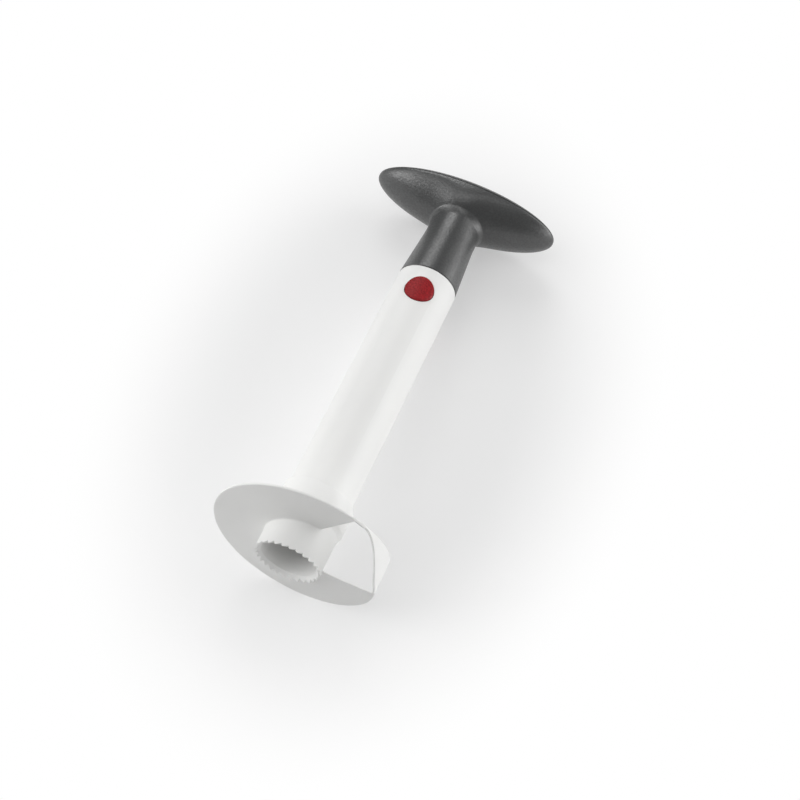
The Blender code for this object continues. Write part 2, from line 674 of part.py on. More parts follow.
def lens_rows(half_length, half_width, depth, exponent, first_share):
    """(half length, half width, rise) of the ovals of a lens from its middle out to its rim."""
    rows = []
    start = math.acos(first_share ** (exponent / 2))
    for index in range(GRIP_PROFILE_STEPS + 1):
        angle = start * (1.0 - index / GRIP_PROFILE_STEPS)
        spread = math.cos(angle) ** (2 / exponent)
        rise = depth * math.sin(angle) ** (2 / exponent)
        rows.append((half_length * spread, half_width * spread, rise))
    return rows


def belly_mesh(inset, top_height):
    """Lower half of the lens, inset from its outer surface, closed flat at the top."""
    half_length = GRIP_HALF_LENGTH - inset
    half_width = GRIP_HALF_WIDTH - inset
    rows = lens_rows(half_length, half_width, GRIP_BELLY_DEPTH - inset,
                     GRIP_BELLY_EXPONENT, GRIP_FLAT_SHARE)
    loops = [oval(length, width, GRIP_RIM_HEIGHT - rise) for length, width, rise in rows]
    loops.append(oval(half_length, half_width, top_height))
    bm = bmesh.new()
    loft(bm, loops)
    return bm


def dome_rows(inset, roof):
    """Ovals of the domed top from its flat middle out to its rim, inset from the outer edge and top."""
    rows = lens_rows(GRIP_HALF_LENGTH - inset, GRIP_HALF_WIDTH - inset, GRIP_DOME_RISE - roof,
                     GRIP_DOME_EXPONENT, GRIP_FLAT_SHARE)
    return [oval(length, width, CAP_BOTTOM_HEIGHT + rise) for length, width, rise in rows]


def build_grip_shell(material, parent):
    """Stem and underside of the grip: a hollow shell, open towards its cap."""
    belly_middle = GRIP_RIM_HEIGHT - GRIP_BELLY_DEPTH + GRIP_WALL
    stem_profile = [
        (TUBE_RADIUS, STEM_BOTTOM_HEIGHT),
        (STEM_TOP_RADIUS, STEM_BOTTOM_HEIGHT + STEM_TAPER_LENGTH),
        (STEM_TOP_RADIUS, GRIP_RIM_HEIGHT - GRIP_WALL),
    ]
    shell = add_piece("grip_shell", belly_mesh(0.0, GRIP_SEAM_HEIGHT), material, parent)
    stem = turned(stem_profile, ROUND_STEPS)
    combine(shell, add_cutter("grip_stem", stem, material, parent), "UNION")
    cavity = belly_mesh(GRIP_WALL, GRIP_SEAM_HEIGHT + CUT_OVERRUN)
    combine(shell, add_cutter("grip_cavity", cavity, material, parent), "DIFFERENCE")
    upper_bore = turned([(STEM_UPPER_BORE_RADIUS, WEB_TOP_HEIGHT),
                         (STEM_UPPER_BORE_RADIUS, belly_middle + GRIP_BELLY_DEPTH / 2)], ROUND_STEPS)
    combine(shell, add_cutter("stem_upper_bore", upper_bore, material, parent), "DIFFERENCE")
    lower_bore = turned([(STEM_BORE_RADIUS, STEM_BOTTOM_HEIGHT - CUT_OVERRUN),
                         (STEM_BORE_RADIUS, WEB_HEIGHT)], ROUND_STEPS)
    combine(shell, add_cutter("stem_lower_bore", lower_bore, material, parent), "DIFFERENCE")
    holes = posts_mesh(SCREW_SHANK_RADIUS + FIT_GAP, WEB_HEIGHT - CUT_OVERRUN, WEB_TOP_HEIGHT + CUT_OVERRUN)
    combine(shell, add_cutter("web_screw_holes", holes, material, parent), "DIFFERENCE")
    return shell


def build_grip_cap(material, parent):
    """Domed cover of the grip, hollow below, with a lip that drops inside the shell."""
    lip_inner_inset = CAP_LIP_INSET + CAP_LIP_WALL
    corners = [
        (CAP_LIP_INSET, CAP_BOTTOM_HEIGHT),
        (CAP_LIP_INSET, CAP_LIP_BOTTOM_HEIGHT),
        (lip_inner_inset, CAP_LIP_BOTTOM_HEIGHT),
    ]
    lip = [oval(GRIP_HALF_LENGTH - inset, GRIP_HALF_WIDTH - inset, height) for inset, height in corners]
    outside = dome_rows(0.0, 0.0)
    inside = dome_rows(lip_inner_inset, GRIP_WALL)
    bm = bmesh.new()
    loft(bm, [*outside, *lip, *reversed(inside)])
    return add_piece("grip_cap", bm, material, parent)


# Assembly

def lying_tilt():
    """Angle by which the axis dips towards the grip when blade rim and grip edge share a floor."""
    rim_height = ramp_height(math.tau / 4) + FLOOR_THICKNESS
    return math.atan2(BLADE_RADIUS - GRIP_HALF_WIDTH, CAP_BOTTOM_HEIGHT - rim_height)


def lay_down(frame, pieces):
    """Lay the tool on the floor with its box centred over the origin."""
    frame.rotation_euler.x = -(math.pi / 2 + lying_tilt())
    bpy.context.view_layer.update()
    graph = bpy.context.evaluated_depsgraph_get()
    points = []
    for piece in pieces:
        shown = piece.evaluated_get(graph)
        points += [shown.matrix_world @ vert.co for vert in shown.data.vertices]
    middle_y = (min(point.y for point in points) + max(point.y for point in points)) / 2
    frame.location = (0.0, -middle_y, -min(point.z for point in points))
    bpy.context.view_layer.update()


def clear_scene():
    """Remove every object that the scene starts with."""
    for thing in list(bpy.data.objects):
        bpy.data.objects.remove(thing, do_unlink=True)


def main():
    """Build the pieces in order, from the blade to the grip's cap."""
    clear_scene()
    white = make_material("white_abs", WHITE_ABS, 0.35, 0.0)
    grey = make_material("grey_grip", GREY_GRIP, 0.50, 0.0)
    insert = make_material("grey_insert", GREY_INSERT, 0.45, 0.0)
    red = make_material("red_button", RED_BUTTON, 0.40, 0.0)
    steel = make_material("screw_steel", SCREW_STEEL, 0.30, 1.0)
    frame = bpy.data.objects.new("tool_frame", None)
    bpy.context.scene.collection.objects.link(frame)
    slide = bpy.data.objects.new("grip_slide", None)
    bpy.context.scene.collection.objects.link(slide)
    slide.parent = frame
    build_blade(white, frame)
    build_tube(white, frame)
    build_spigot(insert, slide)
    build_plug(insert, slide)
    build_button("front", 0.0, red, slide)
    build_button("rear", math.pi, red, slide)
    build_grip_shell(grey, slide)
    build_screws(steel, slide)
    build_grip_cap(grey, slide)
    pieces = [thing for thing in bpy.data.objects if thing.type == "MESH" and not thing.hide_render]
    lay_down(frame, pieces)


if __name__ == "__main__":
    main()
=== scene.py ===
"""Pineapple slicer lying on a pale studio floor: its finishes, its finer shapes, light and camera.

Every shape is made upright in the tool's own frame, in metres, with its axis along Z, the cutting
edge at height 0 along +X and one release button towards -Y. It is then laid down as the part lies.
"""

import json
import logging
import math
from collections.abc import Iterable, Sequence
from dataclasses import dataclass, field
from enum import Enum

import bmesh
import bpy
from bmesh.types import BMesh, BMVert
from mathutils import Matrix, Vector


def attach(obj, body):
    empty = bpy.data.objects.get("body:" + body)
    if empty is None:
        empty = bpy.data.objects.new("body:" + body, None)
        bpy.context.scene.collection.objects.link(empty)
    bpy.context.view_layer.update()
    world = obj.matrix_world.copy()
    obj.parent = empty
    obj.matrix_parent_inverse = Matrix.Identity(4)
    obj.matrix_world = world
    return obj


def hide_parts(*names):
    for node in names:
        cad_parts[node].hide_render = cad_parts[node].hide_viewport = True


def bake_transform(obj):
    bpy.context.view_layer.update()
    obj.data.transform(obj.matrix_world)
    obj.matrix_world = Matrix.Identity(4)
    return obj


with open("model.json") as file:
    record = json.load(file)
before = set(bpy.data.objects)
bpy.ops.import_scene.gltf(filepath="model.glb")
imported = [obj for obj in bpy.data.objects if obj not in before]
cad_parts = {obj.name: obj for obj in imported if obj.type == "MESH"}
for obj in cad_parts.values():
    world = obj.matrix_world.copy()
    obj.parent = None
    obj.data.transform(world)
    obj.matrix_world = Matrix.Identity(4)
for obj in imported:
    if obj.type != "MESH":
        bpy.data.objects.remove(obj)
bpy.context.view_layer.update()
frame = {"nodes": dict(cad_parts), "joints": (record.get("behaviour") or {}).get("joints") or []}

LOG = logging.getLogger("pineapple_slicer")

Profile = Sequence[tuple[float, float]]
MM = 0.001
# Corners nearer to each other than this are one corner
MERGE_DISTANCE = 1e-7
# Most that rounding moves a corner in a full spin
SPIN_SLACK = 1e-5
# Length by which a cutter stands out of what it cuts
CUT_OVERRUN = 0.002


class Solid(Enum):
    """Ways in which one solid is put together with another."""

    JOIN = "UNION"
    CUT = "DIFFERENCE"


class Side(Enum):
    """The two sides of the tube that carry a release button, as turns about the axis."""

    FRONT = 0.0
    REAR = math.pi


# Finishes

def linear(hex_colour: str) -> tuple[float, float, float, float]:
    """Turn an sRGB hex colour into linear red, green, blue and alpha.

    Args:
        hex_colour: Six hex digits, with or without a leading hash.

    Returns:
        Linear colour with an alpha of 1.
    """
    digits = hex_colour.lstrip("#")
    shares = [int(digits[place:place + 2], 16) / 255.0 for place in (0, 2, 4)]
    channels = [s / 12.92 if s <= 0.04045 else ((s + 0.055) / 1.055) ** 2.4 for s in shares]
    return (channels[0], channels[1], channels[2], 1.0)


def add_node(
    tree: bpy.types.NodeTree,
    kind: str,
    settings: dict[str | int, object] | None = None,
    links: dict[str | int, bpy.types.NodeSocket] | None = None,
) -> bpy.types.Node:
    """Add a shader node with its settings and its incoming links.

    Args:
        tree: Node tree of the material or world.
        kind: Type name of the node.
        settings: Values by input name or number, or by property name.
        links: Sockets to join to this node's inputs, by input name or number.

    Returns:
        The new node.
    """
    node = tree.nodes.new(kind)
    for key, value in (settings or {}).items():
        if isinstance(key, int) or key in node.inputs:
            node.inputs[key].default_value = value
        else:
            setattr(node, key, value)
    for key, socket in (links or {}).items():
        tree.links.new(socket, node.inputs[key])
    return node


@dataclass(frozen=True)
class MouldedFinish:
    """A plastic moulding: its tint, its gloss and the grain that its mould left on it.

    Sizes and depths are in millimetres of the real surface. The tint drifts at random between two
    tones, and the pit shade share of it follows the grain instead, as painted shade of the grain's
    micro-shadows that is darker where the grain's noise is high. A range is the part of the
    grain's noise that counts.
    """

    name: str
    colour: str
    tone_and_pit_shade_colour: str
    roughness: float
    roughness_spread: float
    grain_size: float
    grain_depth: float
    ripple_size: float
    ripple_depth: float
    ior: float = 1.53
    sheen: float = 0.0
    pit_shade_share: float = 0.0
    drift_size: float = 26.0
    pit_range: tuple[float, float] = (0.38, 0.62)
    gloss_range: tuple[float, float] = (0.3, 0.7)

    def build(self) -> bpy.types.Material:
        """Make the material.

        Returns:
            A material with colour drift, painted shade that follows its grain, uneven gloss, mould
            grain and flow ripple.
        """
        material = bpy.data.materials.new(self.name)
        material.use_nodes = True
        tree = material.node_tree
        shader = tree.nodes["Principled BSDF"]
        shader.inputs["IOR"].default_value = self.ior
        shader.inputs["Sheen Weight"].default_value = self.sheen
        place = add_node(tree, "ShaderNodeTexCoord").outputs["Object"]
        drift = add_node(
            tree, "ShaderNodeTexNoise",
            {"Scale": 1.0 / (self.drift_size * MM), "Detail": 3.0, "Roughness": 0.5},
            {"Vector": place})
        grain = add_node(
            tree, "ShaderNodeTexNoise",
            {"Scale": 1.0 / (self.grain_size * MM), "Detail": 2.0, "Roughness": 0.6},
            {"Vector": place})
        # Painted shade: the grain's noise darkens the tint, standing in for the grain's
        # micro-shadows
        pit_shade_mask = add_node(
            tree, "ShaderNodeMapRange",
            {"From Min": self.pit_range[0], "From Max": self.pit_range[1]},
            {"Value": grain.outputs["Fac"]})
        tone_and_pit_shade_mix = add_node(tree, "ShaderNodeMix", {"data_type": "FLOAT", 0: self.pit_shade_share},
                          {2: drift.outputs["Fac"], 3: pit_shade_mask.outputs["Result"]})
        tint = add_node(
            tree, "ShaderNodeMix",
            {"data_type": "RGBA", 6: linear(self.colour), 7: linear(self.tone_and_pit_shade_colour)},
            {0: tone_and_pit_shade_mix.outputs[0]})
        tree.links.new(tint.outputs[2], shader.inputs["Base Color"])
        gloss = add_node(
            tree, "ShaderNodeMapRange",
            {"From Min": self.gloss_range[0], "From Max": self.gloss_range[1],
             "To Min": self.roughness - self.roughness_spread,
             "To Max": self.roughness + self.roughness_spread},
            {"Value": grain.outputs["Fac"]})
        tree.links.new(gloss.outputs["Result"], shader.inputs["Roughness"])
        ripple = add_node(
            tree, "ShaderNodeTexNoise",
            {"Scale": 1.0 / (self.ripple_size * MM), "Detail": 1.0}, {"Vector": place})
        flow = add_node(
            tree, "ShaderNodeBump", {"Strength": 1.0, "Distance": self.ripple_depth * MM},
            {"Height": ripple.outputs["Fac"]})
        bump = add_node(
            tree, "ShaderNodeBump", {"Strength": 1.0, "Distance": self.grain_depth * MM},
            {"Height": grain.outputs["Fac"], "Normal": flow.outputs["Normal"]})
        tree.links.new(bump.outputs["Normal"], shader.inputs["Normal"])
        return material


@dataclass(frozen=True)
class PlatedSteelFinish:
    """Zinc-plated steel, drawn and rolled, with faint marks, sized in millimetres."""

    name: str
    colour: str
    roughness: float
    mark_size: float
    mark_depth: float
    smoother: float = 0.08
    rougher: float = 0.12

    def build(self) -> bpy.types.Material:
        """Make the material.

        Returns:
            A metal with uneven gloss and fine marks.
        """
        material = bpy.data.materials.new(self.name)
        material.use_nodes = True
        tree = material.node_tree
        shader = tree.nodes["Principled BSDF"]
        shader.inputs["Metallic"].default_value = 1.0
        shader.inputs["Base Color"].default_value = linear(self.colour)
        place = add_node(tree, "ShaderNodeTexCoord").outputs["Object"]
        marks = add_node(
            tree, "ShaderNodeTexNoise",
            {"Scale": 1.0 / (self.mark_size * MM), "Detail": 4.0}, {"Vector": place})
        gloss = add_node(
            tree, "ShaderNodeMapRange",
            {"To Min": self.roughness - self.smoother, "To Max": self.roughness + self.rougher},
            {"Value": marks.outputs["Fac"]})
        tree.links.new(gloss.outputs["Result"], shader.inputs["Roughness"])
        bump = add_node(
            tree, "ShaderNodeBump", {"Strength": 1.0, "Distance": self.mark_depth * MM},
            {"Height": marks.outputs["Fac"]})
        tree.links.new(bump.outputs["Normal"], shader.inputs["Normal"])
        return material


# ABS moulded in a polished mould: satin gloss, close to white, with a faint flow ripple
WHITE_ABS = MouldedFinish(
    "moulded_white_abs", "#F2F2F0", "#EEEEED", roughness=0.46, roughness_spread=0.05,
    grain_size=0.9, grain_depth=0.004, ripple_size=9.0, ripple_depth=0.03)
# Polypropylene with a soft-touch skin from a spark-eroded mould: a matt, even grain. The real
# grain is about 0.1 mm and is drawn at 1 mm, the finest that shows, and its tint is darkened
# with the grain as painted shade of its micro-shadows.
GREY_GRIP = MouldedFinish(
    "spark_grained_grey_grip", "#454646", "#333434", roughness=0.37, roughness_spread=0.08,
    grain_size=1.0, grain_depth=0.13, ripple_size=12.0, ripple_depth=0.02, ior=1.76, sheen=0.03,
    pit_shade_share=0.7)
# Glass-filled nylon from a plain mould: darker, with a dull gloss
GREY_INSERT = MouldedFinish(
    "moulded_grey_nylon", "#38393A", "#323334", roughness=0.44, roughness_spread=0.07,
    grain_size=0.8, grain_depth=0.012, ripple_size=7.0, ripple_depth=0.03)
# Acetal with a fine texture from its mould: deep red, satin. The real texture is about 0.1 mm and
# is drawn at 0.9 mm, so that it shows, and its tint is darkened with it as painted shade.
RED_BUTTON = MouldedFinish(
    "textured_red_acetal", "#A3181F", "#7A0E14", roughness=0.54, roughness_spread=0.08,
    grain_size=0.9, grain_depth=0.14, ripple_size=5.0, ripple_depth=0.02, ior=1.36, pit_shade_share=0.8)
# Zinc-plated mild steel: a bluish, slightly uneven gloss
SCREW_STEEL = PlatedSteelFinish(
    "zinc_plated_steel", "#C4C6CA", roughness=0.30, mark_size=0.5, mark_depth=0.004)


# Shaping tools

def arc(centre: tuple[float, float], radius: float, start: float, end: float,
        steps: int) -> list[tuple[float, float]]:
    """Find points of an arc in the plane of a profile.

    Args:
        centre: Centre as (radius, height).
        radius: Radius of the arc.
        start: First angle in degrees.
        end: Last angle in degrees.
        steps: Number of chords.

    Returns:
        Points as (radius, height).
    """
    turns = [math.radians(start + (end - start) * index / steps) for index in range(steps + 1)]
    return [(centre[0] + radius * math.cos(turn), centre[1] + radius * math.sin(turn))
            for turn in turns]


def revolve(profile: Profile, steps: int, closed: bool = True) -> BMesh:
    """Turn a profile round the axis.

    Args:
        profile: Corners as (radius, height).
        steps: Facets in a full turn.
        closed: Whether the profile's last corner joins its first.

    Returns:
        The turned solid, or a skin when the profile is open and leaves the axis.
    """
    bm = bmesh.new()
    corners = [bm.verts.new((radius, 0.0, height)) for radius, height in profile]
    pairs = list(zip(corners, corners[1:]))
    if closed:
        pairs.append((corners[-1], corners[0]))
    for low, high in pairs:
        bm.edges.new((low, high))
    bmesh.ops.spin(
        bm, geom=[*bm.verts, *bm.edges], cent=(0.0, 0.0, 0.0), axis=(0.0, 0.0, 1.0),
        angle=math.tau, steps=steps, use_merge=True)
    bmesh.ops.remove_doubles(bm, verts=bm.verts, dist=MERGE_DISTANCE)
    bmesh.ops.recalc_face_normals(bm, faces=bm.faces)
    return bm


def sweep(section: Profile, start: float, angle: float, rise: float, steps: int) -> BMesh:
    """Sweep a closed section round the axis by less than a turn, rising evenly.

    Args:
        section: Corners as (radius, height), in order.
        start: Turn about the axis of the first section.
        angle: Turn from the first section to the last.
        rise: Height gained over the whole sweep.
        steps: Number of sections after the first.

    Returns:
        The swept solid with both ends closed.
    """
    bm = bmesh.new()
    corners = [bm.verts.new((radius, 0.0, height)) for radius, height in section]
    bm.faces.new(corners)
    bmesh.ops.rotate(
        bm, verts=bm.verts, cent=(0.0, 0.0, 0.0), matrix=Matrix.Rotation(start, 3, "Z"))
    bmesh.ops.spin(
        bm, geom=[*bm.verts, *bm.edges, *bm.faces], cent=(0.0, 0.0, 0.0), axis=(0.0, 0.0, 1.0),
        dvec=(0.0, 0.0, rise / steps), angle=angle, steps=steps, use_merge=False)
    bmesh.ops.recalc_face_normals(bm, faces=bm.faces)
    return bm


def rounded_box(low: Vector, high: Vector, rounding: float) -> BMesh:
    """Make a box between two corners with its edges rounded.

    Args:
        low: Lowest corner.
        high: Highest corner.
        rounding: Radius of the edges, or 0 for sharp ones.

    Returns:
        The box.
    """
    bm = bmesh.new()
    bmesh.ops.create_cube(bm, size=1.0)
    bmesh.ops.scale(bm, verts=bm.verts, vec=high - low)
    bmesh.ops.translate(bm, verts=bm.verts, vec=(low + high) / 2.0)
    if rounding > 0.0:
        bmesh.ops.bevel(
            bm, geom=list(bm.edges), offset=rounding, offset_type="OFFSET", affect="EDGES",
            segments=2, profile=0.5, material=-1)
    return bm


def round_post(radius: float, low: float, high: float, steps: int) -> BMesh:
    """Make an upright post on the axis, closed at both ends.

    Args:
        radius: Radius of the post.
        low: Height of its foot.
        high: Height of its top.
        steps: Facets round it.

    Returns:
        The post.
    """
    bm = bmesh.new()
    bmesh.ops.create_cone(
        bm, cap_ends=True, segments=steps, radius1=radius, radius2=radius, depth=high - low)
    bmesh.ops.translate(bm, verts=bm.verts, vec=(0.0, 0.0, (low + high) / 2.0))
    return bm


def combine(base: BMesh, others: Iterable[tuple[BMesh, Solid]]) -> BMesh:
    """Join solids to a first one and cut others from it, in order.

    Args:
        base: First solid, which is used up.
        others: Solids with the way in which each is put together, also used up.

    Returns:
        One closed solid.
    """
    helpers: list[bpy.types.Object] = []

    def as_object(bm: BMesh) -> bpy.types.Object:
        """Put a bmesh into a helper object.

        Args:
            bm: The shape, which is used up.

        Returns:
            The helper object.
        """
        mesh = bpy.data.meshes.new("shape_helper")
        bm.to_mesh(mesh)
        bm.free()
        helper = bpy.data.objects.new("shape_helper", mesh)
        bpy.context.scene.collection.objects.link(helper)
        helpers.append(helper)
        return helper

    main_object = as_object(base)
    for other, way in others:
        modifier = main_object.modifiers.new(way.name, "BOOLEAN")
        modifier.operation = way.value
        modifier.solver = "EXACT"
        modifier.object = as_object(other)
    graph = bpy.context.evaluated_depsgraph_get()
    result = bmesh.new()
    result.from_mesh(main_object.evaluated_get(graph).data)
    for helper in helpers:
        mesh = helper.data
        bpy.data.objects.remove(helper)
        bpy.data.meshes.remove(mesh)
    return result


def smooth_share(share: float) -> float:
    """Ease a share of 0 to 1 in and out."""
    held = min(max(share, 0.0), 1.0)
    return held * held * (3.0 - 2.0 * held)


# The tool's own frame, laid down

@dataclass(frozen=True)
class LyingPlace:
    """Where the tool's own frame lies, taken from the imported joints.

    The hinges of the buttons are at the foot height in the tool's own frame.
    """

    foot_height: float = 0.1383

    def matrix(self) -> Matrix:
        """Work out the placing of the tool's own frame.

        Returns:
            Matrix from the tool's own frame to the lying part.
        """
        joints = {joint["name"]: joint for joint in frame["joints"]}
        axis = Vector(joints["grip_release"]["axis"]).normalized()
        hinges = [Vector(joints[name]["pos_m"])
                  for name in ("front_button_press", "rear_button_press")]
        origin = (hinges[0] + hinges[1]) / 2.0 - axis * self.foot_height
        across = Vector((1.0, 0.0, 0.0))
        back = axis.cross(across)
        turn = Matrix((across, back, axis)).transposed().to_4x4()
        return Matrix.Translation(origin) @ turn


@dataclass(frozen=True)
class Flexure:
    """The springy stretch where a piece bends between a body that holds it and its own."""

    holder: str
    low: float
    high: float


def place_piece(
    name: str,
    bm: BMesh,
    material: bpy.types.Material,
    body: str,
    nodes: Sequence[str],
    sharp: float = 32.0,
    flexure: Flexure | None = None,
) -> bpy.types.Object:
    """Lay a finished shape down, dress it, tie it to its body and hide its CAD nodes.

    Args:
        name: Name of the new piece.
        bm: Its shape in the tool's own frame, which is used up.
        material: Its finish.
        body: Body of the frame that it rides on.
        nodes: CAD nodes that it stands for.
        sharp: Angle in degrees above which an edge stays crisp.
        flexure: Marks a piece held at its foot, left unparented with its placing baked in.

    Returns:
        The new object.
    """
    laid = LyingPlace().matrix()
    bmesh.ops.recalc_face_normals(bm, faces=bm.faces)
    bmesh.ops.transform(bm, matrix=laid, verts=bm.verts)
    mesh = bpy.data.meshes.new(name)
    bm.to_mesh(mesh)
    bm.free()
    mesh.shade_smooth()
    mesh.set_sharp_from_angle(angle=math.radians(sharp))
    mesh.materials.append(material)
    piece = bpy.data.objects.new(name, mesh)
    bpy.context.scene.collection.objects.link(piece)
    if flexure is None:
        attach(piece, body)
    else:
        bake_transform(piece)
    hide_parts(*nodes)
    LOG.info("%s: %d faces", name, len(mesh.polygons))
    return piece


# Blade

@dataclass
class SlicingBlade:
    """Spiral blade, knife wall, saw ring and tube socket in one white moulding."""

    radius: float = 0.0440
    pitch: float = 0.0166
    floor: float = 0.0013
    edge: float = 0.0004
    honed_angle: float = math.radians(7.0)
    ramp_angle: float = math.radians(306.0)
    ramp_steps: int = 253
    root_depth: float = 0.0012
    lower_fillet: float = 0.0008
    upper_fillet: float = 0.0012
    lower_rim_round: float = 0.0007
    upper_rim_round: float = 0.0003
    round_chords: int = 4
    upper_rim_chords: int = 2
    edge_margin: float = 0.01
    saw_radius: float = 0.0170
    saw_inner: float = 0.0145
    saw_drop: float = 0.0029
    saw_land: float = 0.0004
    saw_bevel: float = 0.0025
    saw_teeth: int = 28
    steps_per_tooth: int = 8
    saw_depth: float = 0.0014
    saw_gentle_share: float = 0.77
    tip_turn: float = math.radians(3.2)
    socket_floor: float = 0.0210
    socket_depth: float = 0.0140
    socket_inner: float = 0.0168
    socket_outer: float = 0.0185
    socket_flare: float = 0.0025
    socket_round: float = 0.0003
    flare_lead: float = 0.0006
    flare_ease: float = 0.0001
    shoulder_round: float = 0.0003
    shoulder_rise: float = 0.0004
    wall: float = 0.0015
    proud: float = 0.00015
    toe: float = math.radians(8.0)
    heel: float = math.radians(46.0)
    back: float = math.radians(14.0)
    lap: float = math.radians(5.0)
    peak: float = 0.0020
    back_drop: float = 0.7
    knife_teeth: int = 27
    knife_steps_per_tooth: int = 6
    knife_depth: float = 0.0004
    knife_flute: float = 0.00022
    knife_edge: float = 0.00035
    knife_inset: float = 0.00035
    knife_inner_bevel: float = 0.0012
    knife_outer_bevel: float = 0.0008
    bevel_fade: float = math.radians(2.0)
    serration_start: float = math.radians(3.2)
    knife_top_inset: float = 0.0003
    knife_top_drop: float = 0.0004
    key_width: float = 0.0040
    key_proud: float = 0.0008
    key_height: float = 0.0060
    key_gap: float = 0.0003
    key_root: float = 0.0004
    key_round: float = 0.0002

    def ramp_low(self, angle: float) -> float:
        """Height of the spiral floor's underside at an angle from the cutting edge."""
        return self.pitch * angle / math.tau

    def ramp(self) -> BMesh:
        """Build the spiral floor with soft roots at the hub and a rounded rim.

        Returns:
            The spiral floor as a closed solid.
        """
        root = self.saw_radius - self.root_depth
        low_r = self.lower_rim_round
        top_r = self.upper_rim_round
        section = [
            (root, -self.lower_fillet),
            (self.saw_radius - self.proud, -self.lower_fillet),
            *arc((self.saw_radius + self.lower_fillet, -self.lower_fillet),
                 self.lower_fillet, 180.0, 90.0, self.round_chords),
            *arc((self.radius - low_r, low_r), low_r, -90.0, 0.0, self.round_chords),
            *arc((self.radius - top_r, self.floor - top_r), top_r, 0.0, 90.0,
                 self.upper_rim_chords),
            *arc((self.saw_radius + self.upper_fillet, self.floor + self.upper_fillet),
                 self.upper_fillet, 270.0, 180.0, self.round_chords),
            (root, self.floor + self.upper_fillet),
        ]
        rise = self.ramp_low(self.ramp_angle)
        bm = sweep(section, 0.0, self.ramp_angle, rise, self.ramp_steps)
        for vert in bm.verts:
            angle = math.atan2(vert.co.y, vert.co.x) % math.tau
            if angle > math.tau - self.edge_margin:
                # Rounding puts some corners of the cutting edge just short of a full turn
                angle = 0.0
            if angle < self.honed_angle:
                low = self.ramp_low(angle)
                thickness = self.edge + (self.floor - self.edge) * angle / self.honed_angle
                vert.co.z = low + (vert.co.z - low) * thickness / self.floor
        return bm

    def knife_low(self, ahead: float) -> float:
        """Find the height of the knife wall's lower edge, before its serration.

        Args:
            ahead: Angle ahead of the cutting edge, or behind it where negative.

        Returns:
            Height of the lower edge.
        """
        if ahead < 0.0:
            return self.ramp_low(-ahead) + self.floor / 2
        upper = self.ramp_low(math.tau - ahead)
        if ahead > self.heel:
            return upper + self.proud
        share = (ahead - self.toe) / (self.heel - self.toe)
        return upper * smooth_share(share) - self.proud

    def knife_high(self, ahead: float) -> float:
        """Find the height of the knife wall's top, with its peak over the cutting edge.

        Args:
            ahead: Angle ahead of the cutting edge, or behind it where negative.

        Returns:
            Height of the top.
        """
        high = self.ramp_low(math.tau - max(ahead, 0.0)) + self.floor + self.proud
        if ahead > self.heel:
            ramp_end = math.tau - self.ramp_angle
            sink = smooth_share((ahead - ramp_end) / self.lap)
            return high - self.floor / 2 * sink
        if ahead < 0.0:
            return (high + self.peak) * (1.0 - self.back_drop * (-ahead / self.back) ** 3)
        return high + self.peak * (1.0 - ahead / self.heel) ** 2

    def knife(self) -> BMesh:
        """Build the outer wall beside the slice's mouth, bevelled and finely serrated below.

        Returns:
            The wall as a closed solid.
        """
        outer = self.radius + self.proud
        inner = outer - self.wall
        edge = outer - self.knife_inset
        # Heights in the section are row numbers until each corner gets its own height
        section = [
            (inner, 1.0), (edge - self.knife_edge, 0.0), (edge, 0.0), (outer, 2.0), (outer, 3.0),
            (outer - self.knife_top_inset, 4.0), (inner + self.knife_top_inset, 4.0),
            (inner, 3.0),
        ]
        first = math.tau - self.ramp_angle + self.lap
        sweep_angle = first + self.back
        pitch = (self.heel - self.toe) / self.knife_teeth
        steps = round(sweep_angle / pitch * self.knife_steps_per_tooth)
        bm = sweep(section, -first, sweep_angle, 0.0, steps)
        for vert in bm.verts:
            ahead = -math.atan2(vert.co.y, vert.co.x)
            row = round(vert.co.z)
            low = self.knife_low(ahead)
            high = self.knife_high(ahead)
            room = high - low
            sharp = smooth_share(ahead / self.bevel_fade) if ahead > 0.0 else 0.0
            to_heel = self.heel + self.bevel_fade / 2 - ahead
            inner_sharp = sharp * smooth_share(to_heel / self.bevel_fade)
            bite = 0.0
            if self.serration_start < ahead < self.heel:
                bite = math.sin(math.pi * (((ahead - self.toe) / pitch) % 1.0))
            if row == 0:
                height = low + self.knife_depth * bite
                if vert.co.to_2d().length > edge - self.knife_edge / 2:
                    vert.co.xy *= 1.0 - self.knife_flute * bite / edge
            elif row == 1:
                height = low + min(self.knife_inner_bevel, room / 2) * inner_sharp
            elif row == 2:
                height = low + min(self.knife_outer_bevel, room / 2) * sharp
            else:
                height = high - (min(self.knife_top_drop, room / 4) if row == 3 else 0.0)
            vert.co.z = height
        return bm

    def saw_rise(self, turn: float) -> float:
        """Find the height of the saw's edge above its tips.

        Args:
            turn: Turn about the axis.

        Returns:
            Height above the tips, on a tooth with one gentle flank and one steep one.
        """
        share = ((turn - self.tip_turn) * self.saw_teeth / math.tau) % 1.0
        if share < self.saw_gentle_share:
            return self.saw_depth * share / self.saw_gentle_share
        return self.saw_depth * (1.0 - share) / (1.0 - self.saw_gentle_share)

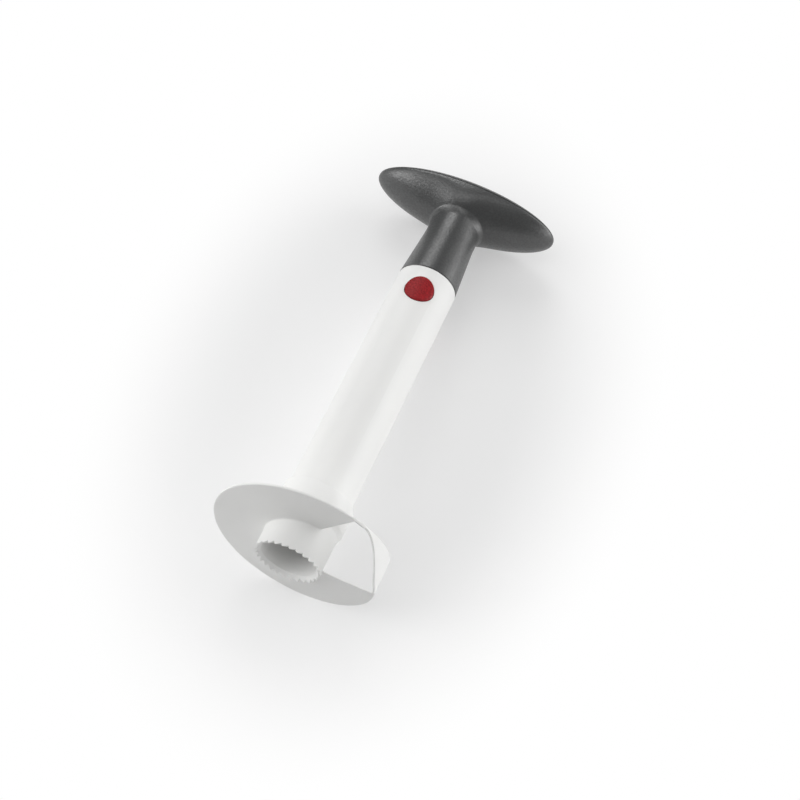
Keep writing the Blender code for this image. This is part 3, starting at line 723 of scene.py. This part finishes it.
    def hub(self) -> BMesh:
        """Build the saw ring and the socket with raked teeth below.

        Returns:
            The hub as a closed ring.
        """
        tip = -self.saw_drop
        land = self.saw_radius - self.saw_land
        slope = (land - self.saw_inner) / self.saw_bevel
        soft = self.socket_round
        flare_foot = self.socket_floor - self.socket_flare
        top = self.socket_floor + self.socket_depth
        profile = [
            (self.saw_radius, tip), (self.saw_radius, flare_foot - self.flare_lead),
            (self.saw_radius + self.flare_ease, flare_foot),
            (self.socket_outer - self.shoulder_round, self.socket_floor - self.shoulder_round),
            (self.socket_outer, self.socket_floor + self.shoulder_rise),
            (self.socket_outer, top - soft), (self.socket_outer - soft, top),
            (self.socket_inner + soft, top), (self.socket_inner, top - soft),
            (self.socket_inner, self.socket_floor), (self.saw_inner, self.socket_floor),
            (self.saw_inner, tip + self.saw_bevel), (land, tip),
        ]
        steps = self.saw_teeth * self.steps_per_tooth
        bm = revolve(profile, steps)
        for vert in bm.verts:
            if vert.co.z > tip + SPIN_SLACK:
                continue
            turn = math.atan2(vert.co.y, vert.co.x)
            rise = self.saw_rise(turn)
            radius = vert.co.to_2d().length
            if radius < self.saw_radius - SPIN_SLACK:
                vert.co.xy *= (radius - slope * rise) / radius
            vert.co.z = tip + rise
        return bm

    def keys(self) -> list[tuple[BMesh, Solid]]:
        """Build the two key blocks inside the socket, one each side.

        Returns:
            The blocks, to be joined to the socket.
        """
        near = self.socket_inner - self.key_gap - self.key_proud
        far = self.socket_inner + self.key_root
        blocks = []
        for side in (-1.0, 1.0):
            low_x, high_x = sorted((side * near, side * far))
            low = Vector((low_x, -self.key_width / 2, self.socket_floor - self.key_root))
            high = Vector((high_x, self.key_width / 2, self.socket_floor + self.key_height))
            blocks.append((rounded_box(low, high, self.key_round), Solid.JOIN))
        return blocks

    def build(self, material: bpy.types.Material) -> None:
        """Join the blade's parts and put it in its place.

        Args:
            material: White ABS.
        """
        parts = [(self.ramp(), Solid.JOIN), (self.knife(), Solid.JOIN), *self.keys()]
        place_piece("blade_moulding", combine(self.hub(), parts), material, "tube",
                    ["slicing_blade"])


# Core tube

@dataclass
class CoreTube:
    """White tube over which the slices gather."""

    radius: float = 0.0165
    wall: float = 0.0018
    bottom: float = 0.0213
    top: float = 0.1773
    soft: float = 0.0005
    top_bow: float = 0.3
    steps: int = 160
    hole_height: float = 0.1623
    hole_radius: float = 0.00805
    hole_reach: float = 0.03
    hole_steps: int = 96
    gap: float = 0.0003
    key_width: float = 0.0040
    key_proud: float = 0.0008
    blade_key_top: float = 0.0270
    grip_key_length: float = 0.0120

    def slot_pair(self, near: float, far: float, low: float,
                  high: float) -> list[tuple[BMesh, Solid]]:
        """Make the cutters for two key slots, one each side.

        Args:
            near: Nearest distance from the axis.
            far: Furthest distance from the axis.
            low: Height of the slots' lower end.
            high: Height of their upper end.

        Returns:
            The two cutters.
        """
        half = self.key_width / 2 + self.gap
        cutters = []
        for side in (-1.0, 1.0):
            low_x, high_x = sorted((side * near, side * far))
            cutters.append((rounded_box(Vector((low_x, -half, low)), Vector((high_x, half, high)),
                                        0.0), Solid.CUT))
        return cutters

    def build(self, material: bpy.types.Material) -> None:
        """Turn the tube, cut its holes and slots and put it in its place.

        Args:
            material: White ABS.
        """
        inner = self.radius - self.wall
        soft = self.soft
        small = soft * self.top_bow
        profile = [
            (self.radius - soft, self.bottom), (self.radius, self.bottom + soft),
            (self.radius, self.top - soft), (self.radius - small, self.top - small),
            (self.radius - soft, self.top), (inner + soft, self.top),
            (inner, self.top - soft), (inner, self.bottom),
        ]
        hole = round_post(self.hole_radius, -self.hole_reach, self.hole_reach, self.hole_steps)
        bmesh.ops.rotate(hole, verts=hole.verts, cent=(0.0, 0.0, 0.0),
                         matrix=Matrix.Rotation(math.pi / 2, 3, "X"))
        bmesh.ops.translate(hole, verts=hole.verts, vec=(0.0, 0.0, self.hole_height))
        cutters = [
            (hole, Solid.CUT),
            *self.slot_pair(self.radius - self.key_proud - self.gap, self.radius + CUT_OVERRUN,
                            self.bottom - CUT_OVERRUN, self.blade_key_top + self.gap),
            *self.slot_pair(inner - CUT_OVERRUN, inner + self.key_proud,
                            self.top - self.grip_key_length - self.gap,
                            self.top + CUT_OVERRUN),
        ]
        place_piece("tube_extrusion", combine(revolve(profile, self.steps), cutters), material,
                    "tube", ["core_tube"])


# Release buttons

@dataclass
class ReleaseButton:
    """Red button that follows the tube's curve, on its flexible tongue."""

    side: Side
    body: str
    node: str
    radius: float = 0.00775
    top_reach: float = 0.0175
    height: float = 0.1623
    edge_round: float = 0.0006
    edge_rows: int = 5
    tongue_reach: float = 0.011238
    foot_reach: float = 0.011631
    back_lap: float = 0.0006
    steps: int = 96
    rings: int = 12
    tongue_width: float = 0.0100
    tongue_thickness: float = 0.0015
    tongue_bottom: float = 0.1348
    tongue_round: float = 0.0003
    foot_width: float = 0.0080
    foot_depth: float = 0.0032
    foot_bottom: float = 0.1313
    foot_top: float = 0.1383
    bend_low: float = 0.1373
    bend_high: float = 0.1463
    bend_rows: int = 9
    holder: str = "grip"

    def head(self) -> BMesh:
        """Build the round head with a face that follows the tube.

        Returns:
            The head as a closed solid.
        """
        bm = bmesh.new()
        bmesh.ops.create_circle(bm, cap_ends=True, radius=self.radius, segments=self.steps)
        face = bm.faces[:][0]
        step = (self.radius - self.edge_round) / self.rings
        # The rows of the rounded edge are evenly spaced round its bend
        bends = [math.pi / 2 * index / self.edge_rows for index in range(self.edge_rows + 1)]
        widths = [self.edge_round * (math.cos(low) - math.cos(high))
                  for low, high in zip(bends, bends[1:])]
        for width in [*widths, *[step] * (self.rings - 1)]:
            bmesh.ops.inset_region(bm, faces=[face], thickness=width,
                                   use_even_offset=True, use_boundary=True)
        rim = [edge for edge in bm.edges if edge.is_boundary]
        wall = bmesh.ops.extrude_edge_only(bm, edges=rim)
        lower = [thing for thing in wall["geom"] if isinstance(thing, BMVert)]
        for vert in bm.verts:
            off_rim = self.radius - vert.co.to_2d().length
            bend = min(max(1.0 - off_rim / self.edge_round, 0.0), 1.0)
            sink = self.edge_round * (1.0 - math.sqrt(max(1.0 - bend * bend, 0.0)))
            x, across = vert.co.x, vert.co.y
            reach = math.sqrt(self.top_reach ** 2 - x * x) - sink
            vert.co = Vector((x, -reach, self.height + across))
        for vert in lower:
            vert.co.y = -(self.tongue_reach - self.back_lap)
        bmesh.ops.holes_fill(bm, edges=[edge for edge in bm.edges if edge.is_boundary], sides=0)
        bmesh.ops.recalc_face_normals(bm, faces=bm.faces)
        return bm

    def build(self, material: bpy.types.Material) -> None:
        """Join head, tongue and foot and put the button in its place.

        Args:
            material: Red acetal.
        """
        tongue = rounded_box(
            Vector((-self.tongue_width / 2, -self.tongue_reach, self.tongue_bottom)),
            Vector((self.tongue_width / 2, -self.tongue_reach + self.tongue_thickness,
                    self.height + self.tongue_width / 2)),
            self.tongue_round)
        foot = rounded_box(
            Vector((-self.foot_width / 2, -self.foot_reach, self.foot_bottom)),
            Vector((self.foot_width / 2, -self.foot_reach + self.foot_depth, self.foot_top)),
            self.tongue_round)
        bm = combine(self.head(), [(tongue, Solid.JOIN), (foot, Solid.JOIN)])
        # Rows of corners let the tongue bend smoothly when the button is pressed
        for row in range(self.bend_rows + 1):
            level = self.bend_low + (self.bend_high - self.bend_low) * row / self.bend_rows
            bmesh.ops.bisect_plane(
                bm, geom=[*bm.verts, *bm.edges, *bm.faces], dist=MERGE_DISTANCE,
                plane_co=(0.0, 0.0, level), plane_no=(0.0, 0.0, 1.0))
        bmesh.ops.rotate(bm, verts=bm.verts, cent=(0.0, 0.0, 0.0),
                         matrix=Matrix.Rotation(self.side.value, 3, "Z"))
        name = f"button_moulding_{self.side.name.lower()}"
        place_piece(name, bm, material, self.body, [self.node],
                    flexure=Flexure(self.holder, self.bend_low, self.bend_high))


# Grip

@dataclass
class Grip:
    """Oval grip: a lens on a round stem, with a domed cap."""

    half_length: float = 0.0525
    half_width: float = 0.0218
    rim_height: float = 0.2354
    belly: float = 0.0162
    belly_exponent: float = 1.5
    seam_rise: float = 0.0006
    cap_bottom: float = 0.2363
    dome: float = 0.0100
    dome_exponent: float = 1.6
    flat_share: float = 0.26
    wall: float = 0.0022
    belly_fullness: float = 0.7
    fullness_reach: float = 0.0110
    fillet_drop: float = 0.0032
    fillet_reach: float = 0.0020
    fillet_lead: float = 0.0012
    fillet_tail: float = 0.0009
    stem_bottom: float = 0.1776
    stem_radius: float = 0.0165
    stem_top_radius: float = 0.0142
    stem_round: float = 0.0003
    taper_length: float = 0.0320
    bore: float = 0.0130
    upper_bore: float = 0.0112
    bore_steps: int = 128
    upper_bore_steps: int = 96
    web_low: float = 0.1996
    web_high: float = 0.2021
    screw_circle: float = 0.0070
    screw_hole: float = 0.0018
    screws: int = 3
    screw_hole_steps: int = 32
    lip_inset: float = 0.0036
    lip_wall: float = 0.0014
    lip_depth: float = 0.0020
    steps: int = 192
    ring_radius: float = 0.01
    stem_rows: int = 12
    fillet_rows: int = 18
    lens_rows: int = 34
    hollow_rows: int = 20
    dome_rows: int = 30
    dome_hollow_rows: int = 16

    def stem(self, height: float) -> float:
        """Radius of the stem at a height."""
        share = min((height - self.stem_bottom) / self.taper_length, 1.0)
        return self.stem_radius + (self.stem_top_radius - self.stem_radius) * share

    def belly_height(self, x: float, y: float) -> float:
        """Find the height of the lens's underside, which is fuller beside the stem.

        Args:
            x: Place along the grip's length.
            y: Place across it.

        Returns:
            Height of the underside over that place.
        """
        spread = min(math.hypot(x / self.half_length, y / self.half_width), 1.0)
        power = self.belly_exponent + self.belly_fullness * math.exp(
            -(x / self.fullness_reach) ** 2)
        return self.rim_height - self.belly * (1.0 - spread ** power) ** (1.0 / power)

    def fillet_point(self, across: Vector, start: float, share: float) -> Vector:
        """Find a point of the flare that joins the stem to the lens.

        Args:
            across: Unit vector away from the axis.
            start: Height at which the stem begins to flare.
            share: 0 at the stem and 1 on the lens.

        Returns:
            The point, on a curve that leaves the stem and meets the lens in line with them.
        """
        end_radius = self.stem_top_radius + self.fillet_reach
        points = [across * self.stem_top_radius + Vector((0, 0, start + rise))
                  for rise in (0.0, self.fillet_lead)]
        for radius in (end_radius - self.fillet_tail, end_radius):
            point = across * radius
            point.z = self.belly_height(point.x, point.y)
            points.append(point)
        rest = 1.0 - share
        weights = (rest ** 3, 3 * rest ** 2 * share, 3 * rest * share ** 2, share ** 3)
        return sum((point * weight for point, weight in zip(points, weights)), Vector())

    def rings(self, rows: int) -> BMesh:
        """Spin an open skin of rings, each at a height that is its row's number."""
        profile = [(self.ring_radius, float(row)) for row in range(rows)]
        return revolve(profile, self.steps, closed=False)

    def skin(self) -> BMesh:
        """Build the outer skin of stem and belly, closed at the bottom and at the seam.

        Returns:
            The outer form as a closed solid.
        """
        soft = self.stem_round
        rows = 2 + self.stem_rows + self.fillet_rows + self.lens_rows + 1
        bm = self.rings(rows)
        for vert in bm.verts:
            row = round(vert.co.z)
            turn = math.atan2(vert.co.y, vert.co.x)
            across = Vector((math.cos(turn), math.sin(turn), 0.0))
            foot = across * self.stem_top_radius
            joint_height = self.belly_height(foot.x, foot.y)
            start = joint_height - self.fillet_drop
            if row == 0:
                vert.co = across * (self.stem_radius - soft) + Vector((0, 0, self.stem_bottom))
            elif row <= 1 + self.stem_rows:
                share = (row - 1) / self.stem_rows
                low = self.stem_bottom + soft
                height = low + (start - low) * share
                vert.co = across * self.stem(height) + Vector((0, 0, height))
            elif row <= 1 + self.stem_rows + self.fillet_rows:
                share = (row - 1 - self.stem_rows) / self.fillet_rows
                vert.co = self.fillet_point(across, start, share)
            elif row < rows - 1:
                share = (row - 1 - self.stem_rows - self.fillet_rows) / self.lens_rows
                eased = math.sin(math.pi / 2 * share)
                inner = self.stem_top_radius + self.fillet_reach
                x = across.x * (inner + (self.half_length - inner) * eased)
                y = across.y * (inner + (self.half_width - inner) * eased)
                vert.co = Vector((x, y, self.belly_height(x, y)))
            else:
                vert.co = Vector((across.x * self.half_length, across.y * self.half_width,
                                  self.rim_height + self.seam_rise))
        bmesh.ops.holes_fill(bm, edges=[edge for edge in bm.edges if edge.is_boundary], sides=0)
        bmesh.ops.recalc_face_normals(bm, faces=bm.faces)
        return bm

    def lens(self, inset: float, depth: float, exponent: float, rows: int,
             sign: float) -> list[tuple[float, float, float]]:
        """Ovals of a lens from its flat middle out to its rim.

        Args:
            inset: Distance inside the grip's edge.
            depth: Greatest rise of the lens.
            exponent: Power of its curve.
            rows: Number of steps.
            sign: 1 for a dome and -1 for a belly.

        Returns:
            Half length, half width and rise of each oval.
        """
        start = math.acos(self.flat_share ** (exponent / 2))
        found = []
        for index in range(rows + 1):
            angle = start * (1.0 - index / rows)
            spread = math.cos(angle) ** (2 / exponent)
            rise = sign * depth * max(math.sin(angle), 0.0) ** (2 / exponent)
            found.append(((self.half_length - inset) * spread,
                          (self.half_width - inset) * spread, rise))
        return found

    def oval_stack(self, ovals: Sequence[tuple[float, float, float]]) -> BMesh:
        """Turn a stack of level ovals into a solid.

        Args:
            ovals: Half length, half width and height of each oval.

        Returns:
            The solid, closed at both ends.
        """
        bm = self.rings(len(ovals))
        for vert in bm.verts:
            row = round(vert.co.z)
            turn = math.atan2(vert.co.y, vert.co.x)
            length, width, height = ovals[row]
            vert.co = Vector((length * math.cos(turn), width * math.sin(turn), height))
        bmesh.ops.holes_fill(bm, edges=[edge for edge in bm.edges if edge.is_boundary], sides=0)
        bmesh.ops.recalc_face_normals(bm, faces=bm.faces)
        return bm

    def screw_holes(self) -> list[tuple[BMesh, Solid]]:
        """Make the cutters for the screw holes in the stem's web.

        Returns:
            One cutter for each screw.
        """
        holes = []
        for index in range(self.screws):
            turn = math.tau * index / self.screws
            post = round_post(self.screw_hole, self.web_low - CUT_OVERRUN,
                              self.web_high + CUT_OVERRUN, self.screw_hole_steps)
            bmesh.ops.translate(post, verts=post.verts, vec=(
                self.screw_circle * math.cos(turn), self.screw_circle * math.sin(turn), 0.0))
            holes.append((post, Solid.CUT))
        return holes

    def build_shell(self, material: bpy.types.Material) -> None:
        """Hollow the outer form and put the shell in its place.

        Args:
            material: Grey polypropylene.
        """
        top = self.rim_height + self.seam_rise
        ovals = [(length, width, self.rim_height + rise) for length, width, rise in self.lens(
            self.wall, self.belly - self.wall, self.belly_exponent, self.hollow_rows, -1.0)]
        ovals.append((self.half_length - self.wall, self.half_width - self.wall,
                      top + CUT_OVERRUN))
        cuts = [
            (self.oval_stack(ovals), Solid.CUT),
            (round_post(self.upper_bore, self.web_high, self.rim_height - self.belly / 3,
                        self.upper_bore_steps), Solid.CUT),
            (round_post(self.bore, self.stem_bottom - CUT_OVERRUN, self.web_low,
                        self.bore_steps), Solid.CUT),
            *self.screw_holes(),
        ]
        place_piece("grip_moulding", combine(self.skin(), cuts), material, "grip",
                    ["grip_shell"])

    def build_cap(self, material: bpy.types.Material) -> None:
        """Build the domed cap, hollow below, and put it in its place.

        Args:
            material: Grey polypropylene.
        """
        lip_inner = self.lip_inset + self.lip_wall
        lip_low = self.cap_bottom - self.lip_depth
        outside = [(length, width, self.cap_bottom + rise) for length, width, rise in self.lens(
            0.0, self.dome, self.dome_exponent, self.dome_rows, 1.0)]
        inside = [(length, width, self.cap_bottom + rise) for length, width, rise in self.lens(
            lip_inner, self.dome - self.wall, self.dome_exponent, self.dome_hollow_rows, 1.0)]
        lip = [
            (self.half_length - inset, self.half_width - inset, height)
            for inset, height in ((self.lip_inset, self.cap_bottom), (self.lip_inset, lip_low),
                                  (lip_inner, lip_low))
        ]
        bm = self.oval_stack([*outside, *lip, *reversed(inside)])
        place_piece("cap_moulding", bm, material, "grip", ["grip_cap"])


# Pieces that keep their solids and get a finish

@dataclass(frozen=True)
class KeptPieces:
    """Insert, plug and screws inside the grip, whose solids already have the right shape."""

    insert_nodes: tuple[str, ...] = ("spigot", "spigot_plug")
    screw_nodes: tuple[str, ...] = ("spigot_screw_1", "spigot_screw_2", "spigot_screw_3")

    def dress(self, nodes: Iterable[str], material: bpy.types.Material) -> None:
        """Give a finish to some of the kept solids.

        Args:
            nodes: Names of the solids.
            material: Their finish.
        """
        for name in nodes:
            for slot in frame["nodes"][name].material_slots:
                slot.material = material
            LOG.info("%s: dressed", name)


# Studio

@dataclass(frozen=True)
class SoftLight:
    """A square soft box on a dome round the tool, turned to it.

    Azimuth runs from +X towards +Y, and both angles are in degrees.
    """

    name: str
    azimuth: float
    elevation: float
    power: float
    size: float = 0.62
    distance: float = 1.25

    def build(self, target: Vector) -> None:
        """Hang the light and turn it to the tool.

        Args:
            target: Point that it shines at.
        """
        lamp = bpy.data.lights.new(self.name, "AREA")
        lamp.shape = "SQUARE"
        lamp.size = self.size
        lamp.energy = self.power
        turn, lift = math.radians(self.azimuth), math.radians(self.elevation)
        away = Vector((math.cos(lift) * math.cos(turn), math.cos(lift) * math.sin(turn),
                       math.sin(lift)))
        holder = bpy.data.objects.new(self.name, lamp)
        holder.location = target + away * self.distance
        holder.rotation_euler = (-away).to_track_quat("-Z", "Y").to_euler()
        bpy.context.scene.collection.objects.link(holder)


@dataclass
class Studio:
    """Pale floor, soft lights, world and camera, whose axes are in the tool's own frame."""

    floor_size: float = 6.0
    floor_colour: str = "#EFEFEF"
    floor_roughness: float = 0.9
    backdrop_colour: str = "#FFFFFF"
    shade_pool_glow: float = 0.38
    far_glow: float = 1.0
    glow_start: float = 0.10
    glow_end: float = 0.225
    glow_squeeze: float = 1.5
    fill_glow: float = 0.10
    target_height: float = 0.03
    lens: float = 65.42
    sensor_width: float = 36.0
    clip_start: float = 0.01
    eye: tuple[float, float, float] = (0.10659, -0.63179, -0.27630)
    right: tuple[float, float, float] = (0.92055, -0.09412, 0.37911)
    down: tuple[float, float, float] = (0.37038, 0.51869, -0.77057)
    forward: tuple[float, float, float] = (-0.12412, 0.84977, 0.51234)
    lights: list[SoftLight] = field(default_factory=lambda: [
        SoftLight("front_left_box", 205.0, 24.0, 5.8),
        SoftLight("back_box", 120.0, 38.0, 4.4),
        SoftLight("right_low_box", 10.0, 10.0, 4.4),
        SoftLight("right_back_low_box", 35.0, 10.0, 3.7),
        SoftLight("right_front_low_box", 340.0, 10.0, 3.0),
        SoftLight("left_box", 180.0, 38.0, 2.1),
        SoftLight("front_high_box", 225.0, 64.0, 2.0),
        SoftLight("right_back_box", 45.0, 38.0, 1.6),
        SoftLight("top_box", 0.0, 90.0, 1.5),
    ])

    def build_floor(self) -> None:
        """Lay the floor, which looks white to the camera far from the tool and keeps the tool's
        shadow.

        Its glow is weaker in an oval round the tool, a painted pale-grey pool of shade there,
        through which the lit floor's real shading and shadow show.
        """
        material = bpy.data.materials.new("pale_floor_paper")
        material.use_nodes = True
        tree = material.node_tree
        shader = tree.nodes["Principled BSDF"]
        shader.inputs["Base Color"].default_value = linear(self.floor_colour)
        shader.inputs["Roughness"].default_value = self.floor_roughness
        glow = add_node(tree, "ShaderNodeEmission",
                        {"Color": linear(self.backdrop_colour), "Strength": 1.0})
        path = add_node(tree, "ShaderNodeLightPath")
        seen = add_node(tree, "ShaderNodeMath", {"operation": "MAXIMUM"},
                        {0: path.outputs["Is Camera Ray"], 1: path.outputs["Is Glossy Ray"]})
        all_seen = add_node(tree, "ShaderNodeMath", {"operation": "MAXIMUM"},
                            {0: seen.outputs[0], 1: path.outputs["Is Transmission Ray"]})
        # Painted shade: the glow dims in an oval round the tool, laying a grey pool over its real
        # shadow
        place = add_node(tree, "ShaderNodeTexCoord").outputs["Object"]
        oval = add_node(tree, "ShaderNodeVectorMath",
                        {"operation": "MULTIPLY", 1: (self.glow_squeeze, 1.0, 1.0)}, {0: place})
        away = add_node(tree, "ShaderNodeVectorMath", {"operation": "LENGTH"},
                        {0: oval.outputs["Vector"]})
        spread = add_node(
            tree, "ShaderNodeMapRange",
            {"interpolation_type": "SMOOTHSTEP", "From Min": self.glow_start,
             "From Max": self.glow_end, "To Min": self.shade_pool_glow, "To Max": self.far_glow},
            {"Value": away.outputs["Value"]})
        share = add_node(tree, "ShaderNodeMath", {"operation": "MULTIPLY"},
                         {0: all_seen.outputs[0], 1: spread.outputs["Result"]})
        mix = add_node(tree, "ShaderNodeMixShader", None,
                       {0: share.outputs[0], 1: shader.outputs[0], 2: glow.outputs[0]})
        tree.links.new(mix.outputs[0], tree.nodes["Material Output"].inputs["Surface"])
        bm = bmesh.new()
        bmesh.ops.create_grid(bm, x_segments=1, y_segments=1, size=self.floor_size / 2)
        mesh = bpy.data.meshes.new("studio_floor")
        bm.to_mesh(mesh)
        bm.free()
        mesh.materials.append(material)
        floor = bpy.data.objects.new("studio_floor", mesh)
        bpy.context.scene.collection.objects.link(floor)

    def build_world(self) -> None:
        """Fill the scene with dim, even light behind a backdrop that the camera sees as white."""
        world = bpy.data.worlds.new("studio_world")
        bpy.context.scene.world = world
        world.use_nodes = True
        tree = world.node_tree
        background = tree.nodes["Background"]
        background.inputs["Color"].default_value = linear(self.backdrop_colour)
        path = add_node(tree, "ShaderNodeLightPath")
        seen = add_node(tree, "ShaderNodeMath", {"operation": "MAXIMUM"},
                        {0: path.outputs["Is Camera Ray"],
                         1: path.outputs["Is Transmission Ray"]})
        strength = add_node(tree, "ShaderNodeMath",
                            {"operation": "MAXIMUM", 1: self.fill_glow}, {0: seen.outputs[0]})
        tree.links.new(strength.outputs[0], background.inputs["Strength"])

    def build_camera(self) -> None:
        """Set the camera to the photograph's place and lens."""
        camera = bpy.data.cameras.new("photo_camera")
        camera.lens = self.lens
        camera.sensor_width = self.sensor_width
        camera.sensor_fit = "HORIZONTAL"
        camera.clip_start = self.clip_start
        holder = bpy.data.objects.new("photo_camera", camera)
        turn = Matrix((self.right, -Vector(self.down), -Vector(self.forward))).transposed()
        stance = Matrix.Translation(self.eye) @ turn.to_4x4()
        holder.matrix_world = LyingPlace().matrix() @ stance
        bpy.context.scene.collection.objects.link(holder)
        bpy.context.scene.camera = holder

    def build(self) -> None:
        """Build floor, lights, world and camera."""
        self.build_floor()
        target = Vector((0.0, 0.0, self.target_height))
        for light in self.lights:
            light.build(target)
        self.build_world()
        self.build_camera()
        bpy.context.scene.view_settings.view_transform = "Standard"


def main() -> None:
    """Dress the tool, piece by piece, and light it."""
    logging.basicConfig(level=logging.INFO, format="%(name)s: %(message)s")
    white = WHITE_ABS.build()
    grey = GREY_GRIP.build()
    insert = GREY_INSERT.build()
    red = RED_BUTTON.build()
    steel = SCREW_STEEL.build()
    SlicingBlade().build(white)
    CoreTube().build(white)
    ReleaseButton(Side.FRONT, "button_front", "release_button_front").build(red)
    ReleaseButton(Side.REAR, "button_rear", "release_button_rear").build(red)
    grip = Grip()
    grip.build_shell(grey)
    grip.build_cap(grey)
    kept = KeptPieces()
    kept.dress(kept.insert_nodes, insert)
    kept.dress(kept.screw_nodes, steel)
    Studio().build()


if __name__ == "__main__":
    main()
